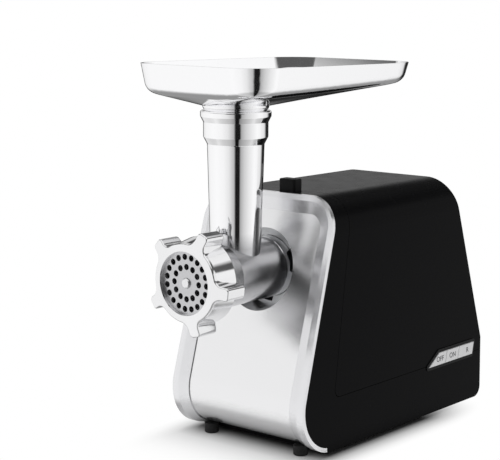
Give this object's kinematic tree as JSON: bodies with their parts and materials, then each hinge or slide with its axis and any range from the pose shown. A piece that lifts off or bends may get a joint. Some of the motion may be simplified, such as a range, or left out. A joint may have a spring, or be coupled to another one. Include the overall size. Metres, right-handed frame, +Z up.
{
  "type": "electric meat grinder",
  "caption": "Countertop electric meat grinder: polished head with tray, auger, blade, plate and ring nut on a motor housing with gearbox, lock button and push-button switches.",
  "frame": {"origin": "on the ground, below the centre of the bounding box", "axes": "+X to the side with the switches, +Y along the barrel towards the rear of the housing, +Z up"},
  "size_m": [0.1524, 0.3134, 0.2993],
  "materials": {
    "gloss_black": "gloss black moulded plastic",
    "bright_frame": "silver painted plastic",
    "fascia_steel": "brushed",
    "polished_aluminium": "polished",
    "cast_aluminium": "as cast",
    "cutting_steel": "ground",
    "fastener_steel": "zinc plated",
    "gear_steel": "sintered, oiled",
    "gear_nylon": "natural nylon",
    "bush_bronze": "sintered bronze",
    "winding_copper": "varnished copper",
    "laminations": "stacked sheets, varnished",
    "carbon": "matt graphite",
    "rubber_black": "matt",
    "key_silver": "satin silver",
    "black_plastic": "fine texture",
    "terminal_white": "matt"
  },
  "bodies": {
    "housing": {"fascia_frame": "bright_frame", "fascia_plate": "fascia_steel", "upper_cover": "gloss_black", "front_body": "gloss_black", "rear_cover": "gloss_black", "rear_screws": "fastener_steel", "base_plate": "black_plastic", "base_screws": "fastener_steel", "feet": "rubber_black", "head_socket": "cast_aluminium", "socket_screws": "fastener_steel", "lock_bracket": "fastener_steel", "lock_spring": "fastener_steel", "gearbox_cover": "cast_aluminium", "gearbox_case": "cast_aluminium", "gearbox_screws": "fastener_steel", "gear_pins": "fastener_steel", "output_bearing": "fastener_steel", "output_bush": "bush_bronze", "front_bracket": "cast_aluminium", "rear_bracket": "cast_aluminium", "front_bearing": "fastener_steel", "rear_bearing": "fastener_steel", "stator": "laminations", "field_coils": "winding_copper", "carbon_brushes": "carbon", "brush_holders": "black_plastic", "motor_screws": "fastener_steel", "motor_mounts": "rubber_black", "switch_bezel": "black_plastic", "switch_block": "black_plastic", "cord_gland": "rubber_black", "terminal_block": "terminal_white", "capacitor": "black_plastic"},
    "rotor": {"motor_shaft": "fastener_steel", "motor_pinion": "gear_steel", "rotor_core": "laminations", "rotor_windings": "winding_copper", "commutator": "winding_copper", "cooling_fan": "black_plastic"},
    "first_gear_cluster": {"first_gear": "gear_nylon"},
    "second_gear_cluster": {"second_gear": "gear_steel"},
    "output_drive": {"output_gear": "gear_steel", "output_shaft": "fastener_steel", "auger": "cast_aluminium", "auger_coupling": "gear_nylon", "coupling_screw": "fastener_steel", "cross_blade": "cutting_steel"},
    "head": {"grinder_head": "polished_aluminium", "head_collar": "polished_aluminium", "head_bush": "bush_bronze"},
    "plate_carrier": {"cutting_plate": "cutting_steel"},
    "nut": {"ring_nut": "polished_aluminium"},
    "tray": {"tray_pan": "polished_aluminium", "tray_neck": "polished_aluminium"},
    "lock_push": {"lock_button": "black_plastic"},
    "lock_catch": {"lock_lever": "black_plastic"},
    "off_key": {"off_button": "key_silver"},
    "on_key": {"on_button": "key_silver"},
    "reverse_key": {"reverse_button": "key_silver"}
  },
  "joints": [
    {"name": "rotor_spin", "type": "hinge", "parent": "housing", "child": "rotor", "pos_m": [-0.00443, 0.04327, 0.062], "axis": [0, 1, 0], "continuous": true},
    {"name": "first_gear_spin", "type": "hinge", "parent": "housing", "child": "first_gear_cluster", "pos_m": [-0.02443, -0.00673, 0.09193], "axis": [0, 1, 0], "continuous": true},
    {"name": "second_gear_spin", "type": "hinge", "parent": "housing", "child": "second_gear_cluster", "pos_m": [0.01362, -0.01673, 0.09928], "axis": [0, 1, 0], "continuous": true},
    {"name": "output_spin", "type": "hinge", "parent": "housing", "child": "output_drive", "pos_m": [-0.00443, -0.02873, 0.1405], "axis": [0, 1, 0], "continuous": true},
    {"name": "head_twist", "type": "hinge", "parent": "housing", "child": "head", "pos_m": [-0.00443, -0.05673, 0.1405], "axis": [0, -1, 0], "range_deg": [0, 45]},
    {"name": "plate_out", "type": "slide", "parent": "head", "child": "plate_carrier", "axis": [0, -1, 0], "range_m": [0, 0.009]},
    {"name": "ring_nut_turn", "type": "hinge", "parent": "plate_carrier", "child": "nut", "pos_m": [-0.00443, -0.14673, 0.1405], "axis": [0, -1, 0], "range_deg": [0, 1080]},
    {"name": "tray_lift", "type": "slide", "parent": "head", "child": "tray", "axis": [0, 0, 1], "range_m": [0, 0.02]},
    {"name": "lock_button_press", "type": "slide", "parent": "housing", "child": "lock_push", "axis": [0, 0, -1], "range_m": [0, 0.003], "stiffness_N_per_m": 300, "springref_m": -0.002, "deforming": ["lock_spring"]},
    {"name": "lock_lever_swing", "type": "hinge", "parent": "housing", "child": "lock_catch", "pos_m": [-0.00643, -0.04673, 0.1805], "axis": [0, 1, 0], "range_deg": [0, 15]},
    {"name": "off_press", "type": "slide", "parent": "housing", "child": "off_key", "axis": [-1, 0, 0], "range_m": [0, 0.0025], "stiffness_N_per_m": 400, "springref_m": -0.0005},
    {"name": "on_press", "type": "slide", "parent": "housing", "child": "on_key", "axis": [-1, 0, 0], "range_m": [0, 0.0025], "stiffness_N_per_m": 400, "springref_m": -0.0005},
    {"name": "reverse_press", "type": "slide", "parent": "housing", "child": "reverse_key", "axis": [-1, 0, 0], "range_m": [0, 0.0025], "stiffness_N_per_m": 400, "springref_m": -0.0005}
  ],
  "couplings": [
    {"joint": "first_gear_spin", "follows": "rotor_spin", "ratio": -0.2},
    {"joint": "second_gear_spin", "follows": "rotor_spin", "ratio": 0.048},
    {"joint": "output_spin", "follows": "rotor_spin", "ratio": -0.012},
    {"joint": "plate_out", "follows": "ring_nut_turn", "m_per_rad": 0.00047746},
    {"joint": "lock_lever_swing", "follows": "lock_button_press", "rad_per_m": 83.333}
  ]
}
